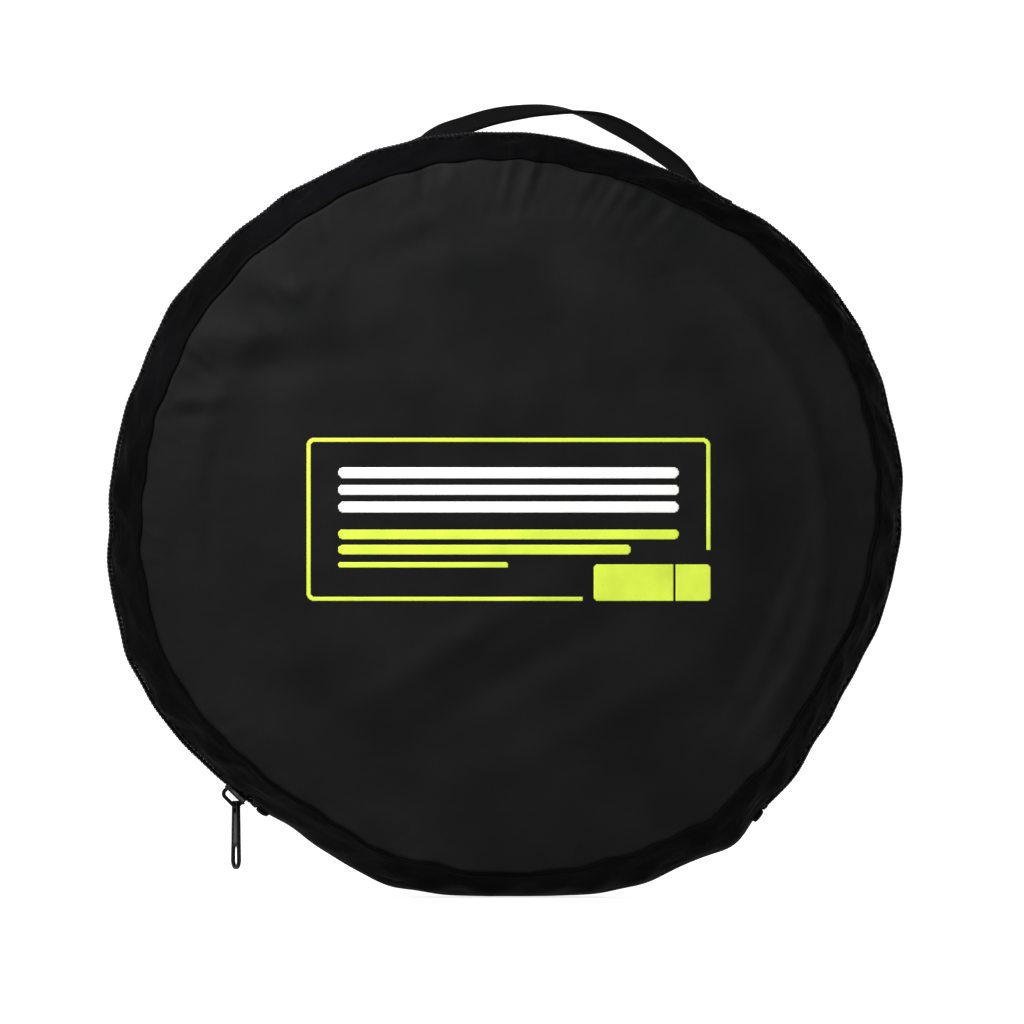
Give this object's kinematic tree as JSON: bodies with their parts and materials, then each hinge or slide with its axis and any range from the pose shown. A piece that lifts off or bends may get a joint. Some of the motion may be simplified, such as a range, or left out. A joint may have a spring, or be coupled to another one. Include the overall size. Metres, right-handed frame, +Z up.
{
  "type": "round zipped carry bag",
  "caption": "Round black cloth carry bag with a zip round its rim and a webbing handle, packed with the coiled hoops and netting of a folding hanging drying net.",
  "frame": {"origin": "centre of the flattened bottom edge that the bag stands on", "axes": "+Z up, -Y towards the printed front panel, +X to the right as seen from the front"},
  "size_m": [0.3222, 0.0693, 0.3343],
  "materials": {
    "panel_cloth": "matte",
    "gusset_cloth": "matte",
    "seam_cloth": "matte",
    "binding": "matte",
    "zip_tape": "matte",
    "zip_coil": "satin",
    "stop_metal": "satin",
    "webbing": "matte",
    "hoop_sleeve": "matte",
    "netting": "matte",
    "lime_ink": "matte",
    "white_ink": "matte",
    "slider_metal": "satin",
    "bridge_metal": "satin",
    "pull_metal": "satin"
  },
  "bodies": {
    "bag": {"back_panel": "panel_cloth", "back_seam": "seam_cloth", "back_binding": "binding", "back_gusset": "gusset_cloth", "hinge_gusset": "gusset_cloth", "front_panel_lower": "panel_cloth", "front_seam_lower": "seam_cloth", "front_binding_lower": "binding", "zip_tape_back": "zip_tape", "zip_coil_back": "zip_coil", "front_tape_end_left": "zip_tape", "front_tape_end_right": "zip_tape", "front_coil_end_left": "zip_coil", "front_coil_end_right": "zip_coil", "zip_stop_left": "stop_metal", "zip_stop_right": "stop_metal", "end_tab_left": "binding", "end_tab_right": "binding", "strap_end_left": "webbing", "strap_end_right": "webbing", "hoop_1": "hoop_sleeve", "hoop_2": "hoop_sleeve", "hoop_3": "hoop_sleeve", "hoop_4": "hoop_sleeve", "hoop_5": "hoop_sleeve", "hoop_6": "hoop_sleeve", "net_1": "netting", "net_2": "netting", "net_3": "netting", "net_4": "netting", "net_5": "netting", "net_6": "netting"},
    "cover": {"front_panel": "panel_cloth", "front_seam": "seam_cloth", "front_binding": "binding", "front_gusset": "gusset_cloth", "zip_tape_front": "zip_tape", "zip_coil_front": "zip_coil", "print_frame": "lime_ink", "print_white_bars": "white_ink", "print_lime_bars": "lime_ink", "print_block": "lime_ink"},
    "slider": {"slider_plate": "slider_metal", "slider_bridge": "bridge_metal", "slider_underplate": "slider_metal"},
    "pull": {"pull_tab": "pull_metal"},
    "handle": {"handle_strap": "webbing"}
  },
  "joints": [
    {"name": "zip_travel", "type": "hinge", "parent": "bag", "child": "slider", "pos_m": [0, 0, 0.1575], "axis": [0, 1, 0], "range_deg": [0, 270.8]},
    {"name": "cover_open", "type": "hinge", "parent": "bag", "child": "cover", "pos_m": [0, -0.0318, 0.03637], "axis": [1, 0, 0], "range_deg": [0, 96]},
    {"name": "pull_swing", "type": "hinge", "parent": "slider", "child": "pull", "pos_m": [-0.11313, 0, 0.03922], "axis": [0, 1, 0], "range_deg": [-35, 90]},
    {"name": "handle_swing", "type": "hinge", "parent": "bag", "child": "handle", "pos_m": [0.02282, 0.02066, 0.31017], "axis": [0.989, 0, -0.1478], "range_deg": [-30, 30], "stiffness_Nm_per_rad": 0.01}
  ],
  "couplings": [
    {"joint": "cover_open", "follows": "zip_travel", "ratio": 0.3545}
  ]
}
